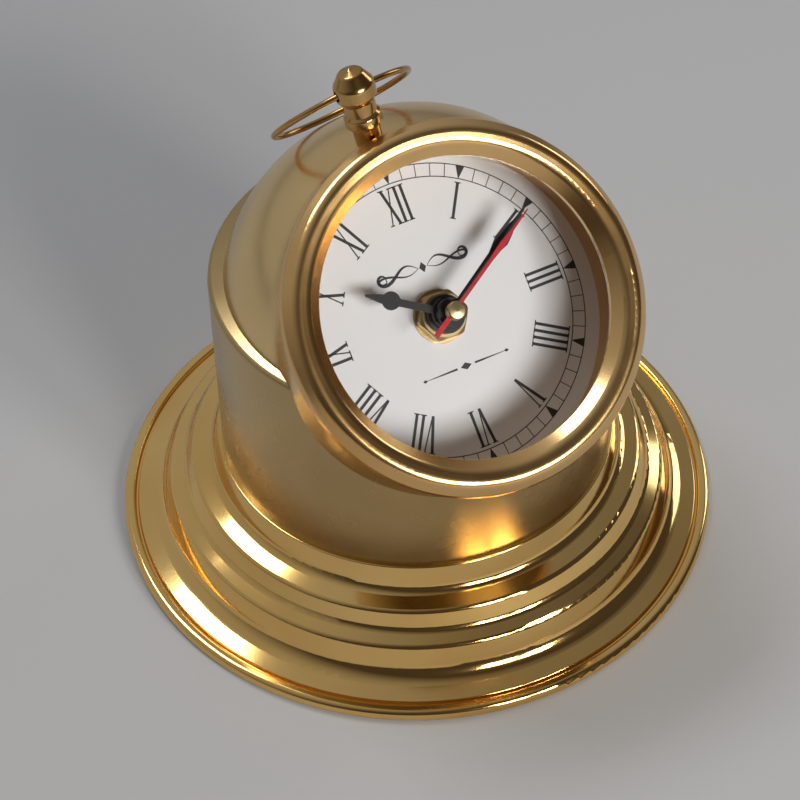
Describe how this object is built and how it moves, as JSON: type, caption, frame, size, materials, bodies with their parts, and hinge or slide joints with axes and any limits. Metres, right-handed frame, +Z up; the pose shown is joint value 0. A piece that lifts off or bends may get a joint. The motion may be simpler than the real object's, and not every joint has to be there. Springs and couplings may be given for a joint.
{
  "type": "desk clock",
  "caption": "Polished brass binnacle-shaped desk clock with a stepped round foot, domed hood, sloping glazed dial and a hinged ring on top.",
  "frame": {"origin": "centre of the felt pad's underside, where the clock rests", "axes": "+Z up; the dial faces toward -Y and 48 degrees up from level; +X is to the right of someone reading the dial"},
  "size_m": [0.13, 0.13, 0.1158],
  "materials": {
    "brass": "polished",
    "brass_bezel": "polished",
    "brass_wire": "polished",
    "brass_plain": "satin",
    "steel": "satin",
    "aluminium": "satin",
    "dial_white": "matte printed card",
    "rubber": "matte",
    "felt": "felt",
    "glass": "clear",
    "case_plastic": "moulded",
    "white_plastic": "moulded",
    "magnet": "ground",
    "copper": "enamelled wire",
    "board": "laminate",
    "epoxy": "cast",
    "cell": "printed sleeve",
    "hand_black": "satin paint",
    "hand_red": "gloss paint"
  },
  "bodies": {
    "case": {"base_flange": "brass", "base_plate": "steel", "felt_pad": "felt", "hood": "brass", "drum": "brass", "pendant_knob": "brass", "mounting_plate": "steel", "dial_plate": "aluminium", "dial_card": "dial_white", "spacer_ring": "brass", "rubber_washer": "rubber", "brass_washer": "brass_plain", "fixing_nut": "brass_plain", "movement_front_case": "case_plastic", "movement_back_case": "case_plastic", "wheel_bridge": "white_plastic", "stator": "steel", "coil_bobbin": "white_plastic", "coil_winding": "copper", "circuit_board": "board", "timing_chip": "epoxy", "quartz_crystal": "steel", "battery": "cell", "contact_positive": "steel", "contact_negative": "steel"},
    "bezel_assembly": {"bezel": "brass_bezel", "bezel_glass": "glass", "glass_retaining_ring": "steel"},
    "bow": {"bow_ring": "brass_wire"},
    "minute_train": {"minute_hand": "hand_black", "centre_wheel": "white_plastic"},
    "hour_train": {"hour_hand": "hand_black", "hour_wheel": "white_plastic"},
    "second_train": {"second_hand": "hand_red", "second_wheel": "white_plastic", "centre_cap": "brass_plain"},
    "third": {"third_wheel": "white_plastic"},
    "intermediate": {"intermediate_wheel": "white_plastic"},
    "rotor": {"rotor_pinion": "white_plastic", "rotor_magnet": "magnet"},
    "motion": {"motion_wheel": "white_plastic"},
    "setter": {"setting_knob": "case_plastic"}
  },
  "joints": [
    {"name": "minute_spin", "type": "hinge", "parent": "case", "child": "minute_train", "pos_m": [0, -0.0125, 0.0648], "axis": [0, 0.6691, -0.7431], "continuous": true},
    {"name": "hour_spin", "type": "hinge", "parent": "case", "child": "hour_train", "pos_m": [0, -0.0125, 0.0648], "axis": [0, 0.6691, -0.7431], "continuous": true},
    {"name": "second_spin", "type": "hinge", "parent": "case", "child": "second_train", "pos_m": [0, -0.0125, 0.0648], "axis": [0, 0.6691, -0.7431], "continuous": true},
    {"name": "third_spin", "type": "hinge", "parent": "case", "child": "third", "pos_m": [0.0051, -0.00594, 0.07071], "axis": [0, 0.6691, -0.7431], "continuous": true},
    {"name": "intermediate_spin", "type": "hinge", "parent": "case", "child": "intermediate", "pos_m": [-0.00677, -0.01067, 0.06645], "axis": [0, 0.6691, -0.7431], "continuous": true},
    {"name": "rotor_spin", "type": "hinge", "parent": "case", "child": "rotor", "pos_m": [-0.01313, -0.00794, 0.06891], "axis": [0, 0.6691, -0.7431], "continuous": true},
    {"name": "motion_spin", "type": "hinge", "parent": "case", "child": "motion", "pos_m": [0.00902, -0.01494, 0.0626], "axis": [0, 0.6691, -0.7431], "continuous": true},
    {"name": "setting_knob_turn", "type": "hinge", "parent": "case", "child": "setter", "pos_m": [0.01848, -0.01618, 0.06149], "axis": [0, 0.6691, -0.7431], "continuous": true},
    {"name": "bow_swing", "type": "hinge", "parent": "case", "child": "bow", "pos_m": [-0.00713, 0.00942, 0.11122], "axis": [0.9906, 0.0292, 0.1337], "range_deg": [0, 235]},
    {"name": "bezel_pull", "type": "slide", "parent": "case", "child": "bezel_assembly", "axis": [0, -0.6691, 0.7431], "range_m": [0, 0.007]}
  ],
  "couplings": [
    {"joint": "hour_spin", "follows": "minute_spin", "ratio": 0.083333},
    {"joint": "second_spin", "follows": "minute_spin", "ratio": 60},
    {"joint": "third_spin", "follows": "minute_spin", "ratio": -8},
    {"joint": "intermediate_spin", "follows": "minute_spin", "ratio": -300},
    {"joint": "rotor_spin", "follows": "minute_spin", "ratio": 1800},
    {"joint": "motion_spin", "follows": "minute_spin", "ratio": -0.33333},
    {"joint": "setting_knob_turn", "follows": "minute_spin", "ratio": 1}
  ]
}
